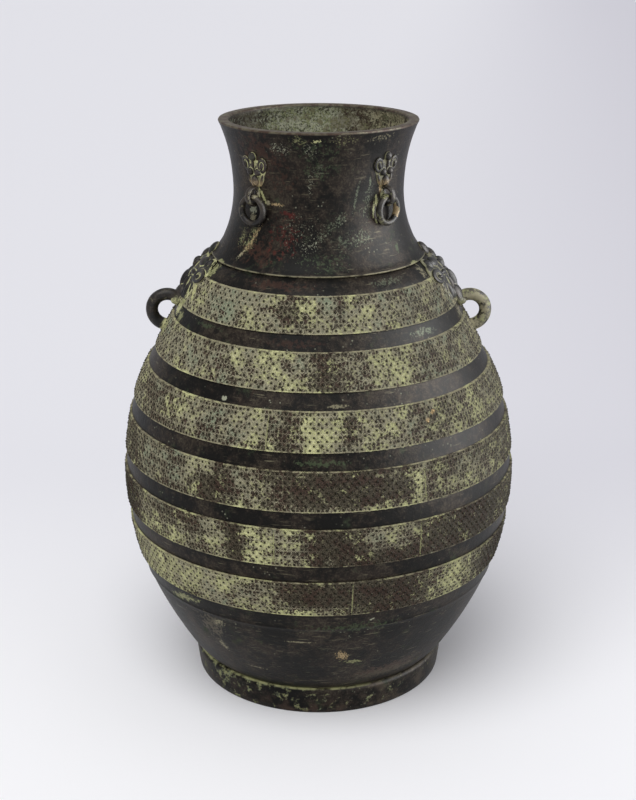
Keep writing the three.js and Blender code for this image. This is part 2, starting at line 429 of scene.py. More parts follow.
# Marks on the plain bronze: tone, strength, degrees from the front, height, half width, half height,
# lean, density and fleck size
neckMarks = [
    # red and brown blooms under green and pale flecks
    ("rust", 0.5, -40, 387, 24, 12, 0, 0.2, 4), ("rust", 0.4, -25, 370, 14, 14, 0, 0.14, 3),
    ("rust", 0.6, -36, 321, 22, 9, 0, 0.2, 3), ("red", 0.45, -22, 331, 13, 18, 12, 0.12, 3),
    ("red", 0.5, -19, 346, 7, 3, 15, 0.2, 2), ("green", 0.4, 0, 389, 22, 9, 0, 0.12, 2.5),
    ("green", 0.5, 0, 375, 10, 9, 0, 0.12, 2), ("teal", 0.35, 0, 374, 7, 6, 0, 0.1, 1.6),
    ("chalk", 0.8, -23, 389, 8, 4, 0, 0.1, 1.1), ("chalk", 0.6, -5, 388, 5, 6, 0, 0.08, 1.1),
    ("chalk", 0.7, -5.5, 366, 2.4, 7, 0, 0.1, 1.1), ("chalk", 0.5, -9, 334, 15, 13, 0, 0.03, 1.1),
    ("bright", 0.8, -1, 394.6, 3.4, 1.4, -12, 0.24, 1.3), ("deposit", 0.5, -11, 395, 7, 4, 0, 0.1, 1.4),
    ("deposit", 0.5, 14, 395, 10, 3.4, 0, 0.1, 1.4), ("buff", 0.6, 38, 395, 12, 2.6, -4, 0.14, 1.4),
    ("teal", 0.5, 13.7, 343, 7, 3.4, -45, 0.16, 1.3), ("teal", 0.4, 5, 336, 11, 3.2, -45, 0.14, 1.3),
    ("chalk", 0.6, -3, 328, 8, 3, -45, 0.1, 1.1), ("teal", 0.4, 28, 331, 8, 6, 0, 0.14, 1.3),
    ("teal", 0.35, 16, 329, 10, 7, 0, 0.12, 1.3), ("green", 0.5, 4, 317, 20, 7, 0, 0.12, 2),
    ("teal", 0.5, 34.7, 366, 0.9, 4, 0, 0.3, 1.3), ("teal", 0.4, 25, 358, 1.2, 14, 12, 0.2, 1.3),
    ("green", 0.7, 53, 321, 2, 4, 0, 0.3, 1.5), ("teal", 0.4, 33, 352, 5, 14, 15, 0.12, 1.3),
    # tan and yellow runs beside and below the neck masks
    ("tan", 0.8, -28, 351.6, 6, 1.3, 0, 0.26, 1.1), ("tan", 0.7, -42, 332, 2.4, 7, 35, 0.2, 1.1),
    ("deposit", 0.6, -46, 325, 5, 8, 35, 0.16, 1.2), ("tan", 0.7, -46, 323, 2.4, 9, 40, 0.18, 1.1),
    ("buff", 0.7, -50, 317, 1.6, 5, 35, 0.24, 1.1), ("deposit", 0.5, -54, 327, 3.4, 8, 20, 0.14, 1.2),
    ("tan", 0.9, -41, 365, 2.4, 3.4, 0, 0.5, 1.6), ("bright", 0.8, -38.5, 356, 1.3, 6, -30, 0.42, 1.5),
    ("buff", 0.8, -34.5, 352, 2, 2.4, -30, 0.34, 1.1), ("chalk", 0.9, -47.3, 346, 3.8, 3.4, 0, 0.3, 1.1),
    ("buff", 0.7, -47, 341, 3.6, 4, 0, 0.26, 1.1), ("deposit", 0.5, -44, 333, 4, 2.6, 0, 0.2, 1.1),
    ("tan", 0.9, 44.3, 361, 2, 3.4, 0, 0.5, 1.6), ("bright", 0.7, 40.5, 353, 1.6, 4.5, -10, 0.36, 1.5),
    ("deposit", 0.8, 38, 347, 1, 6, 6, 0.38, 1.5), ("deposit", 0.7, 40, 339.5, 1, 3, -25, 0.34, 1.5),
    ("deposit", 0.7, 61, 309.6, 6, 1.2, 0, 0.34, 2), ("deposit", 0.7, -64, 309.6, 5, 1.2, 0, 0.34, 2),
]
bellyMarks = [
    # shoulder: deposits round the masks and the ends of the loops
    ("deposit", 0.8, -64, 304, 4, 7, -20, 0.26, 1.6), ("bright", 0.9, -80, 274, 9, 6, 0, 0.3, 2),
    ("deposit", 0.7, -72, 271, 6, 4, 0, 0.3, 2), ("buff", 0.7, 62, 304, 4, 6, 20, 0.2, 1.6),
    ("buff", 0.7, 79, 272, 8, 7, 0, 0.2, 1.8),
    # strips between the bands: faint smudges
    ("rust", 0.5, -20, 304, 30, 3, 0, 0.2, 3), ("rust", 0.4, -10, 272, 20, 3, 0, 0.2, 3),
    ("green", 0.6, 0, 204, 22, 2.6, 0, 0.22, 2), ("teal", 0.5, 45, 272, 14, 3, 0, 0.18, 1.8),
    ("chalk", 0.8, -31, 237, 2.4, 1.5, 0, 0.4, 1.5), ("buff", 0.5, 6, 237, 9, 1.2, 0, 0.26, 1.6),
    ("green", 0.5, -50, 274, 14, 2.4, 0, 0.2, 2), ("teal", 0.4, 35, 304, 14, 2.6, 0, 0.16, 1.6),
    # low belly: olive and tan blots and level streaks
    ("deposit", 0.7, -46, 90, 18, 3.6, -8, 0.24, 2), ("buff", 0.6, -33.5, 77.6, 7, 4, -12, 0.2, 1.3),
    ("ground", 0.8, -37, 72, 12, 16, 0, 0.2, 2.4), ("buff", 0.6, -35.6, 55, 3.4, 7, -30, 0.2, 1.3),
    ("buff", 0.6, -6, 72, 11, 0.8, 0, 0.26, 1.5), ("tan", 0.8, 8, 58, 4.5, 6, -35, 0.22, 1.3),
    ("deposit", 0.6, 12, 51, 9, 2, 6, 0.24, 1.6), ("buff", 0.5, -24, 39, 9, 0.8, 0, 0.24, 1.5),
    ("chalk", 0.8, 16, 90.7, 2, 0.7, -25, 0.4, 1.3), ("umber", 0.7, 30, 36, 34, 7, 0, 0.26, 3),
    ("ground", 0.6, 28, 32, 36, 5, 0, 0.24, 2), ("green", 0.6, 62, 100, 12, 10, 0, 0.24, 3),
    ("green", 0.5, 10, 85, 40, 5, 0, 0.16, 2.4),
]


def bellyMaterial():
    paint = Paint("belly_bronze")
    x, _, z = paint.axes()
    inside = paint.attribute("inside")
    base, rough, metal, height = darkBronze(paint, 0, 0)
    base = paint.marks(base, bellyMarks)
    # the foot's junction holds a yellow-green line, and the low belly thin level streaks
    junction = (1 - paint.step(z, 0.019, 0.0212)) * paint.blots(0.42, 0.56, 9, 4, 0.6, 23)
    base = paint.mix(junction * 0.8, base, paint.mix(paint.step(x, 0.01, 0.06), "deposit", "ground"))
    scratch = paint.step(paint.noise(1.6, 3, 0.6, 29, (9, 9, 0.5)), 0.64, 0.7) * (1 - paint.step(z, 0.08, 0.1))
    base = paint.mix(scratch * 0.35, base, "buff")
    crust = paint.mix(paint.blots(0.4, 0.6, 3, 5, 0.7, 43), "brown", "umber")
    base = paint.mix(inside, base, crust)
    return paint.finish(base, rough * (1 - inside) + inside * 0.85, metal * (1 - inside), height, 0.8, 0.13)


def neckMaterial():
    paint = Paint("neck_bronze")
    x, _, z = paint.axes()
    inside = paint.attribute("inside")
    base, rough, metal, height = darkBronze(paint, 0, 0)
    base = paint.marks(base, neckMarks)
    # lower edge, worn pale, with a painted highlight along the raised step
    edge = 1 - paint.step(z, 0.3092, 0.3100)
    base = paint.mix(edge * paint.blots(0.3, 0.55, 8, 4, 0.6, 31) * 0.7, base, "buff")
    # lip, rubbed brown
    lip = paint.step(z, 0.3982, 0.3994)
    rubbed = paint.mix(0.5, "ground", "clay")
    worn = paint.mix(paint.blots(0.42, 0.6, 5, 4, 0.7, 41), "umber", rubbed)
    base = paint.mix(lip * 0.85, base, worn)
    # inside: a rough crust, mossy green left of the middle, with buff specks and dark pores
    crust = paint.noise(1.2, 4, 0.7, 43)
    patch = paint.noise(10, 5, 0.68, 47)
    middle = paint.step(x, -0.05, -0.03) * (1 - paint.step(x, 0.01, 0.03))
    inner = paint.mix(paint.step(crust, 0.4, 0.58), "brown", "ground")
    inner = paint.mix(paint.step(patch * 0.55 + crust * 0.45 + middle * 0.08, 0.48, 0.6) * 0.85, inner, "moss")
    sandy = paint.noise(1.7, 4, 0.7, 53) * 0.6 + paint.noise(9, 4, 0.65, 59) * 0.4 + paint.step(x, 0.02, 0.05) * 0.03
    inner = paint.mix(paint.step(patch * 0.4 + crust * 0.6 + middle * 0.06, 0.54, 0.64) * 0.7, inner, "deposit")
    pale = paint.mix(paint.step(x, 0.015, 0.045), "chalk", "buff")
    inner = paint.mix(paint.step(sandy + middle * 0.01, 0.49, 0.56) * 0.9, inner, pale)
    dim = paint.step(x, 0.005, 0.02) * (1 - paint.step(x, 0.03, 0.045)) + 1 - paint.step(x, -0.045, -0.03)
    dim = paint.step(dim * 0.1 + patch, 0.5, 0.6)
    inner = paint.mix((1 - paint.step(crust, 0.36, 0.44)) * 0.6, inner, "black")
    inner = paint.mix(dim * 0.55, inner, "umber")
    base = paint.mix(inside, base, inner)
    rough = rough * (1 - inside) + inside * 0.85
    return paint.finish(base, rough, metal * (1 - inside), height + inside * crust * 0.9, 0.8, 0.13)


print("body")
keep(makeBelly(), "belly_shell", "jar", "body_bronze", bellyMaterial(), "jar_belly")
keep(makeNeck(), "neck_shell", "jar", "body_bronze", neckMaterial(), "jar_neck")


# Foot ring: flared wall with a rounded ledge on top, open underneath
foot = {
    "outside": [(85.2, 0), (88.3, 0), (88.9, 0.5), (89.6, 5), (90.3, 10.5), (90.9, 15.5), (91, 16.8)],
    "ledge": [(90.8, 17.8), (90.2, 18.7), (89.4, 19.3), (88.6, 19.5), (87.4, 19)],
    "inside": [(84, 15.2), (82.6, 13.4), (82.5, 11.5), (83.4, 6), (84.4, 0.6), (85.2, 0)],
}


def footMaterial():
    paint = Paint("foot_bronze")
    x, _, z = paint.axes()
    base, rough, metal, height = darkBronze(paint, -0.02, 0)
    toRight = paint.step(x, 0, 0.055)
    upper = paint.step(z, 0.002, 0.017)
    blotch = paint.step(paint.noise(6, 5, 0.7, 3) + upper * 0.05 - x * 0.5, 0.59, 0.7)
    crust = paint.mix(paint.blots(0.36, 0.56, 3, 4, 0.65, 9), "teal", "deposit")
    base = paint.mix(blotch * 0.75, base, crust)
    earth = paint.blots(0.48, 0.64, 11, 5, 0.65, 29) * toRight.larger(1 - upper)
    base = paint.mix(earth * 0.6, base, paint.mix(toRight * 0.6, "umber", "ground"))
    ledge = paint.step(z, 0.0183, 0.0193)
    line = paint.mix(toRight, "bright", "ground")
    base = paint.mix(ledge * paint.blots(0.38, 0.56, 9, 5, 0.65, 13) * 0.85, base, line)
    rough = rough + blotch * 0.3 + ledge * 0.2
    metal = metal - blotch * 0.12
    return paint.finish(base, rough, metal, height + blotch * 0.2, 0.8, 0.13)


print("foot ring")
ring = spun(foot["outside"] + foot["ledge"] + foot["inside"])
smooth(ring, shading["cast"])
keep(ring, "foot_ring_cast", "jar", "foot_bronze", footMaterial(), "foot_ring")


# Relief bands: a spun ring for the ground and its two borders, covered with raised dots and curls
bands = {
    "spans": [(277.7, 299.6), (245, 267.7), (210.5, 234.6), (173, 199.1), (135.3, 161.4), (97.1, 123.1)],
    "dotsAround": [106, 127, 148, 159, 162, 157],
    "rows": [8, 8, 9, 9, 9, 9],
    "ground": 0.1,  # the ground's rise over the jar's curve
    "border": 0.8,  # width of each border
    "borderRise": 0.45,
    "depth": 2.2,  # how far the ring is let into the body
    "dotRadius": 0.98,
    "dotRise": 1.0,
    "curlRadius": 1.6,
    "curlTurn": 235,
    "curlBar": 0.4,
    "seed": 5,
}
# Pale deposit on each band from the top one down: its level and tint, then patches by degrees from the
# front, share of the band's height, half width, half height, strength (below zero is rubbed bare) and
# tint (below zero is grey green, above zero yellow)
deposits = [
    (0.56, -0.1, [
        (-40, 0.5, 7, 0.8, 0.1, -0.9), (-25, 0.8, 7, 0.4, 0.35, 0.6), (-11, 0.5, 6, 0.6, -0.35, 0),
        (0, 0.5, 5, 0.7, 0.25, 0), (9, 0.8, 3.5, 0.4, -0.35, 0), (18, 0.3, 9, 0.4, 0.3, 0.3),
        (42, 0.6, 8, 0.5, -0.1, -0.5), (65, 0.5, 12, 0.8, -0.1, -0.4),
    ]),
    (0.5, -0.1, [
        (-57, 0.5, 6, 0.7, 0.15, 0.2), (-22, 0.75, 9, 0.4, 0.3, 0.7), (-10, 0.3, 6, 0.4, 0.25, 0.2),
        (3, 0.5, 8, 0.7, -0.3, 0), (27, 0.5, 6, 0.6, 0.25, 0.6), (45, 0.4, 9, 0.5, -0.1, -0.6),
    ]),
    (0.44, 0, [
        (-42, 0.75, 6, 0.4, 0.25, 0.6), (-32, 0.5, 8, 0.6, 0, -1.2), (-20, 0.5, 6, 0.7, 0.3, 0.6),
        (-10, 0.5, 5, 0.8, -0.25, 0), (1, 0.5, 7, 0.6, 0.45, 0.8), (9, 0.5, 2.5, 0.7, -0.4, 0),
        (19, 0.6, 9, 0.6, 0.25, 0.3), (34, 0.4, 5, 0.5, -0.15, 0), (53, 0.5, 9, 0.7, 0.1, 0.8),
        (-62, 0.5, 10, 0.9, -0.12, -0.5),
    ]),
    (0.3, 0, [
        (-70, 0.5, 6, 0.9, -0.1, 0.4), (-53, 0.5, 12, 0.8, 0.12, -1.5), (-36, 0.85, 5, 0.35, 0.5, 0.8),
        (-30, 0.4, 6, 0.5, -0.3, 0), (-20, 0.45, 5, 0.5, 0.3, 0.8), (6, 0.55, 17, 0.6, -0.32, 0),
        (6, 0, 16, 0.12, 0.5, 1), (28.7, 0.4, 2, 0.8, 0.4, 1), (50, 0.3, 14, 0.5, 0.25, 0.6),
    ]),
    (0.24, 0, [
        (-72, 0.5, 9, 0.9, -0.2, 0), (-57, 0.5, 4, 0.8, 0.3, 0.7), (-45, 0.25, 7, 0.4, 0.3, 0.6),
        (-30, 0.5, 4.5, 0.7, 0.4, 0.9), (-23, 0.5, 3, 0.7, -0.3, 0), (-16, 0.5, 5, 0.8, 0.5, 1),
        (-7, 0.4, 4, 0.7, 0.3, 0.6), (6, 0.5, 7, 0.8, -0.3, 0), (20, 0.8, 9, 0.45, 0.35, 0.4),
        (20, 0.1, 9, 0.3, -0.25, 0), (45, 0.5, 16, 0.8, -0.2, 0),
    ]),
    (0.36, 0.1, [
        (-60, 0.5, 12, 0.8, 0.4, 0.5), (-36, 0.6, 20, 0.8, 0.5, 0.4), (-41, 0, 4, 0.3, -0.5, 0.6),
        (-2, 0.65, 12, 0.6, -0.4, 0), (-4, 0.1, 12, 0.2, 0.35, 1), (22, 0.5, 11, 0.9, -0.42, 0),
        (42, 0.55, 9, 0.8, 0.36, 1.2), (66, 0.5, 10, 0.8, -0.4, 0),
    ]),
]
# Mould seams: degrees from the front and middle height
seams = [(-15, 222), (30.4, 186), (-12, 148), (28.7, 148), (9.5, 110), (141, 186), (-118, 148)]
# Marks on the bands, as on the plain bronze: round the masks and loops, and two tan chips
bandMarks = [
    ("bright", 0.8, -69, 291, 3, 10, -25, 0.4, 2), ("deposit", 0.8, -76, 282, 5, 6, 0, 0.42, 2),
    ("buff", 0.7, 68, 291, 3, 10, 25, 0.36, 2), ("buff", 0.7, 76, 281, 5, 6, 0, 0.36, 2),
    ("deposit", 0.8, -84, 258, 6, 7, 0, 0.42, 2), ("buff", 0.8, 83, 259, 6, 7, 0, 0.38, 2),
    ("tan", 0.9, 36.6, 227.5, 2.4, 1.4, -20, 0.42, 1.6), ("tan", 0.9, 34, 223.5, 1.6, 1.6, 0, 0.42, 1.6),
]


# Deposit and tint at places on a band; the unseen back repeats another band's patches
def depositAt(number, degrees, share):
    cover = np.zeros(len(degrees))
    tint = np.zeros(len(degrees))
    ahead = np.clip((105 - np.abs(degrees)) / 25, 0, 1)
    behind = (180 - np.abs(degrees)) * np.sign(degrees)
    for row, weight, across in ((number, ahead, degrees), ((number + 2) % 6, 1 - ahead, behind)):
        level, hue, patches = deposits[row]
        cover += weight * level
        tint += weight * hue
        for middle, up, wide, tall, strength, shade in patches:
            near = weight * np.exp(-((across - middle) / wide) ** 2 - ((share - up) / tall) ** 2)
            cover += strength * near
            tint += shade * near
    return cover, tint


def markDeposit(piece, number, low, high):
    points = pointsOf(piece) / mm
    degrees = np.degrees(np.arctan2(points[:, 0], -points[:, 1]))
    cover, tint = depositAt(number, degrees, (points[:, 2] - low) / (high - low))
    setAttribute(piece, "cover", cover)
    setAttribute(piece, "tint", tint)


def bandRing(low, high):
    rise = bands["ground"]
    top = rise + bands["borderRise"]
    width = bands["border"]

    def at(height, lift):
        return (curveRadius(height) + lift, height)

    profile = [at(low, -bands["depth"]), at(low, top - 0.3), at(low + 0.1, top - 0.08), at(low + 0.3, top)]
    profile += [at(low + width - 0.3, top - 0.06), at(low + width, rise)]
    profile += track(lambda height: curveRadius(height) + rise, low + width + 0.6, high - width - 0.6, 2.4)
    profile += [at(high - width, rise), at(high - width + 0.3, top - 0.06), at(high - 0.3, top)]
    profile += [at(high - 0.1, top - 0.08), at(high, top - 0.3), at(high, -bands["depth"])]
    ring = spun(profile + [profile[0]], jar["steps"] * 2)
    points = pointsOf(ring) / mm
    fromEdge = np.minimum(points[:, 2] - low, high - points[:, 2])
    setAttribute(ring, "relief", np.zeros(len(points)))
    setAttribute(ring, "border", np.clip((width - fromEdge) / 0.3, 0, 1))
    return ring


# One dot in the crook of its curl, flat on the ground, before it is repeated
def reliefCell(turn):
    pick()
    dot = bands["dotRadius"] * mm
    bpy.ops.mesh.primitive_uv_sphere_add(segments=8, ring_count=5, radius=dot)
    cell = bpy.context.object
    edit()
    bpy.ops.transform.resize(value=(1, 1, bands["dotRise"] / bands["dotRadius"]))
    bpy.ops.object.mode_set(mode="OBJECT")
    pick()
    start = (bands["curlRadius"] * mm, 0, 0.05 * mm)
    bpy.ops.mesh.primitive_plane_add(size=bands["curlBar"] * mm, location=start, rotation=(math.pi / 2, math.pi / 4, 0))
    curl = bpy.context.object
    edit()
    turned = math.radians(bands["curlTurn"])
    bpy.ops.mesh.spin(steps=7, angle=turned, center=(0, 0, 0), axis=(0, 0, 1))
    bpy.ops.mesh.select_all(action="SELECT")
    bpy.ops.mesh.normals_make_consistent(inside=False)
    settle(curl)
    cell = joined(cell, curl)
    cell.rotation_euler = (0, 0, math.radians(turn))
    bpy.ops.object.transform_apply()
    return cell


# A flat field of cells: two staggered rows repeated round the jar and up the band
def reliefField(columns, rows, pitch, rowPitch):
    fields = []
    for row in range(2):
        cell = reliefCell(30 + 140 * row)
        cell.location = (pitch * 0.5 * row * mm, rowPitch * row * mm, 0)
        bpy.ops.object.transform_apply(location=True, rotation=False, scale=False)
        rowCount = (rows + 1 - row) // 2
        for count, shift in ((columns, (pitch * mm, 0, 0)), (rowCount, (0, 2 * rowPitch * mm, 0))):
            array = cell.modifiers.new("Array", "ARRAY")
            array.count = count
            array.use_relative_offset = False
            array.use_constant_offset = True
            array.constant_offset_displace = shift
            bpy.ops.object.modifier_apply(modifier="Array")
        fields.append(cell)
    return joined(*fields)


# Bends the flat field round the jar, a little uneven as hand-pressed moulds leave it
def wrapField(field, low, high, columns, rows, pitch, rowPitch, dice):
    flat = pointsOf(field) / mm
    row = np.clip(np.rint(flat[:, 1] / rowPitch), 0, rows - 1).astype(int)
    column = np.rint(flat[:, 0] / pitch - 0.5 * (row % 2)).astype(int) % columns
    setAttribute(field, "relief", np.clip(flat[:, 2] / bands["dotRise"], 0, 1))
    setAttribute(field, "border", np.zeros(len(flat)))
    middle = (low + high) / 2
    slope = curveSlope(middle)
    lean = 1 / math.hypot(1, slope)
    across = flat[:, 0] + dice.normal(0, 0.2, (rows, columns))[row, column]
    up = flat[:, 1] - rowPitch * (rows - 1) / 2 + dice.normal(0, 0.14, (rows, columns))[row, column]
    tall = np.where(flat[:, 2] > 0, dice.uniform(0.6, 1.1, (rows, columns))[row, column], 1)
    angle = across / (pitch * columns) * 2 * math.pi
    up = up + 0.3 * np.sin(5 * angle + low) + 0.2 * np.sin(11 * angle)
    height = middle + up * lean
    samples = np.linspace(low - 3, high + 3, 60)
    radius = np.interp(height, samples, [curveRadius(h) for h in samples]) + bands["ground"]
    out = flat[:, 2] * tall
    radius = radius + out * lean
    height = height - out * slope * lean
    movePoints(field, np.stack([radius * np.sin(angle), -radius * np.cos(angle), height], 1) * mm)


def bandMaterial():
    paint = Paint("patterned_bronze")
    relief = paint.attribute("relief")
    border = paint.attribute("border")
    cover = paint.attribute("cover")
    tint = paint.attribute("tint")
    blots = paint.noise(6.5, 5, 0.7, 5)
    fine = paint.noise(1.3, 3, 0.65, 9)
    speckle = paint.noise(0.9, 2, 0.5, 33)
    hue = (paint.noise(16, 4, 0.6, 2) - 0.5) * 0.7 + tint * 0.09 + blots * 0.3 + fine * 0.35 + 0.175
    ragged = cover * 0.8 + (blots - 0.5) * 2.4 + (fine - 0.5) * 1.4 + 0.06
    # bare ground is grey brown to red brown, the deposit on it grey green to yellow green
    bare = paint.mix(paint.blots(0.44, 0.6, 10, 4, 0.6, 21), "ground", "umber")
    bare = paint.mix(paint.step(speckle, 0.36, 0.6) * 0.8, bare, paint.mix(0.5, "brown", "dot"))
    pale = paint.mix(paint.step(hue, 0.38, 0.5), "teal", "clay")
    pale = paint.mix(paint.step(hue, 0.49, 0.61), pale, "deposit")
    pale = paint.mix(paint.step(hue + (ragged - 0.6) * 0.15, 0.6, 0.74), pale, "bright")
    base = paint.mix(paint.step(ragged, 0.34, 0.58), bare, pale)
    base = paint.mix(paint.step(speckle, 0.54, 0.66) * 0.28, base, "brown")
    glint = paint.blots(0.53, 0.65, 0.8, 2, 0.5, 61) * paint.step(ragged, 0.3, 0.6)
    base = paint.mix(glint * 0.35, base, "cream")
    # curls are painted pale where deposit lies, part deposit and part painted highlight on their raised turns; dots are
    # rubbed dark
    curl = paint.step(relief, 0.06, 0.2) * (1 - paint.step(relief, 0.3, 0.42))
    base = paint.mix(curl * paint.step(cover, 0, 0.6) * 0.7, base, paint.mix(0.5, "buff", "cream"))
    dark = paint.step(relief, 0.4, 0.6)
    base = paint.mix(dark * 0.95, base, "dot")
    # the raised borders are painted pale: part deposit, part painted highlight along their edges
    edge = border * paint.step(paint.noise(5, 4, 0.65, 27) + cover * 0.2, 0.46, 0.66)
    base = paint.mix(edge * 0.75, base, paint.mix(paint.step(hue, 0.5, 0.62), "buff", "bright"))
    seamMarks = [("deposit", 0.7, degrees, height, 0.5, 13, 0, 0.5, 3) for degrees, height in seams]
    base = paint.marks(base, bandMarks + seamMarks)
    rough = 0.8 - dark * 0.3
    return paint.finish(base, rough, dark * 0.2, fine * 0.6 + blots * 0.4, 0.4, 0.12)


print("relief bands")
patterned = bandMaterial()
dice = np.random.default_rng(bands["seed"])
for number, (low, high) in enumerate(bands["spans"]):
    columns = bands["dotsAround"][number]
    rows = bands["rows"][number]
    slant = math.hypot(1, curveSlope((low + high) / 2))
    clear = (high - low - 2 * bands["border"]) * slant
    rowPitch = (clear - 2 * bands["dotRadius"]) / (rows - 1)
    pitch = 2 * math.pi * curveRadius((low + high) / 2) / columns
    field = reliefField(columns, rows, pitch, rowPitch)
    wrapField(field, low, high, columns, rows, pitch, rowPitch, dice)
    band = joined(bandRing(low, high), field)
    markDeposit(band, number, low, high)
    smooth(band, shading["band"])
    keep(band, f"relief_band_{number + 1}", "jar", "body_bronze", patterned)


# Fittings are placed by direction round the jar in degrees, height, and how far they stand off
def seat(direction, height, lift):
    angle = math.radians(direction)
    slope = curveSlope(height)
    out = Vector((math.cos(angle), math.sin(angle), -slope)).normalized()
    across = Vector((-math.sin(angle), math.cos(angle), 0))
    up = out.cross(across)
    radius = curveRadius(height)
    place = Vector((radius * math.cos(angle), radius * math.sin(angle), height)) + out * lift
    matrix = Matrix((across, up, out)).transposed().to_4x4()
    matrix.translation = place * mm
    return matrix


# Shapes of a mask on both sides of its middle: across, height, stand-off, half sizes and turn
shoulderMask = {
    "domes": [
        # low plates that show pale between the raised features
        (0, 290, -1.3, (10, 15, 2.6), 0), (12, 293, -1.3, (10, 13, 2.6), 0), (22, 294, -1.3, (9, 11, 2.5), 0),
        (0, 303, -1.3, (13, 6, 2.5), 0), (27.5, 300, -1.3, (9, 8.5, 2.5), 8), (22, 284, -1.3, (6, 6, 2.4), 0),
        # muzzle with nostrils, nose ridge, crest
        (0, 278.5, 0.4, (7.5, 9, 4.8), 0), (3.2, 273.6, 2.3, (2.5, 2.6, 2.7), 0), (0, 288.5, 0.8, (3, 8.5, 4.6), 0),
        (0, 310.5, 0.6, (4.6, 5.6, 3), 0), (3.6, 300.6, 0.5, (2.8, 4, 3.4), 0),
        # leaves beside the nose and on the cheeks, forehead plates, cores of the curls
        (13.4, 289.6, 0.5, (1.9, 6.2, 3.3), -8), (17.4, 284, 0.2, (1.9, 4.6, 3), -14),
        (22, 286.8, 0.2, (2.6, 6.6, 3.2), -6),
        (13.5, 304.3, 0.2, (7.4, 4.2, 3), 8), (14.5, 297.4, 0.3, (4.8, 2, 2.9), 6), (24.4, 305, 0.2, (3, 4.4, 2.8), -8),
        (29.6, 297.2, 0.6, (2.4, 1.7, 3.2), 10), (7.4, 291.4, 0.7, (1.1, 2.4, 3.4), -6),
    ],
    "curls": [
        (7.4, 291.4, 0.9, (3.6, 5.6, 3.4), 0.3, -6), (28.5, 298, 0.9, (8.8, 5.5, 3.8), 0.27, 10),
        (24.4, 305, 0, (5.4, 6.6, 3.2), 0.16, -8),
    ],
    "voxel": 0.38,
    "deep": 1.6,  # how far the mask is let into the body
}
neckMask = {
    "domes": [
        (0, 373.5, -0.9, (9, 7.5, 2), 0), (0, 366.5, -0.9, (5.5, 6, 2), 0), (3.1, 371.8, 1, (2.3, 2.5, 2.7), 0),
        (0, 381.8, 0.4, (2.7, 3, 2.8), 0), (0, 365.6, 0.5, (3, 4.2, 3.5), 0), (7, 376.2, 0.5, (1.5, 2.8, 2.4), -12),
        (5.4, 366.8, -0.2, (1.2, 4.2, 2), -20), (0, 377, 0.5, (1, 3.4, 2.2), 0),
    ],
    "curls": [(7, 376.5, 0.7, (3.7, 5.2, 3), 0.26, -12)],
    "voxel": 0.28,
    "deep": 1.2,
}


def ball():
    bpy.ops.mesh.primitive_uv_sphere_add(segments=28, ring_count=14, radius=1)


def hoop(radius, bar, around=48, section=16):
    bpy.ops.mesh.primitive_torus_add(
        major_segments=around, minor_segments=section, major_radius=radius, minor_radius=bar)


def addShape(make, matrix, size, turn=0):
    pick()
    make()
    shape = bpy.context.object
    spin = Matrix.Rotation(math.radians(turn), 4, "Z")
    shape.matrix_world = matrix @ spin @ Matrix.Diagonal([s * mm for s in size]).to_4x4()
    bpy.ops.object.transform_apply()
    return shape


def makeMask(shapes, direction):
    parts = []

    def onBothSides(make, across, height, lift, size, turn):
        for side in (-1, 1) if across else (1,):
            place = seat(direction + math.degrees(side * across / curveRadius(height)), height, lift)
            parts.append(addShape(make, place, size, side * turn))

    for across, height, lift, size, turn in shapes["domes"]:
        onBothSides(ball, across, height, lift, size, turn)
    for across, height, lift, size, thick, turn in shapes["curls"]:
        onBothSides(lambda: hoop(1 - thick, thick, 36, 12), across, height, lift, size, turn)
    mask = joined(*parts)
    raiseBuried(mask, shapes["deep"])
    return remeshed(mask, shapes["voxel"])


# Height of each point over the jar's curve
def standOff(points):
    radius = np.hypot(points[:, 0], points[:, 1])
    samples = np.linspace(240, 399, 400)
    curve = np.interp(points[:, 2], samples, [curveRadius(h) for h in samples])
    slope = np.interp(points[:, 2], samples, [curveSlope(h) for h in samples])
    return (radius - curve) / np.hypot(1, slope), radius, slope


# Points buried deeper than allowed move out to that depth, so that nothing shows inside the jar
def raiseBuried(piece, deep):
    points = pointsOf(piece) / mm
    for _ in range(3):
        off, radius, slope = standOff(points)
        short = np.maximum(-deep - off, 0)
        lean = np.hypot(1, slope)
        share = 1 + short / lean / radius
        points[:, 0] *= share
        points[:, 1] *= share
        points[:, 2] -= short * slope / lean
    movePoints(piece, points * mm)


# Marks how far each point stands off the jar, in millimetres
def markRise(piece):
    setAttribute(piece, "rise", np.clip(standOff(pointsOf(piece) / mm)[0], 0, 8))


# Marks hollows, by how far each point lies below the mean of its neighbours
def markHollows(piece):
    points = pointsOf(piece) / mm
    edges = np.zeros(len(piece.data.edges) * 2, np.int64)
    piece.data.edges.foreach_get("vertices", edges)
    first, second = edges.reshape(-1, 2).T
    normals = np.zeros(len(points) * 3)
    piece.data.vertices.foreach_get("normal", normals)
    normals = normals.reshape(-1, 3)
    count = np.bincount(first, minlength=len(points)) + np.bincount(second, minlength=len(points))

    def spread(values):
        total = np.stack([
            np.bincount(first, values[second, k], len(points)) + np.bincount(second, values[first, k], len(points))
            for k in range(values.shape[1])
        ], 1)
        return total / count[:, None]

    soft = points
    for _ in range(5):
        soft = spread(soft)
    hollow = ((soft - points) * normals).sum(1, keepdims=True)
    for _ in range(2):
        hollow = spread(hollow)
    setAttribute(piece, "hollow", np.clip(0.5 + hollow[:, 0] * 3.2, 0, 1))


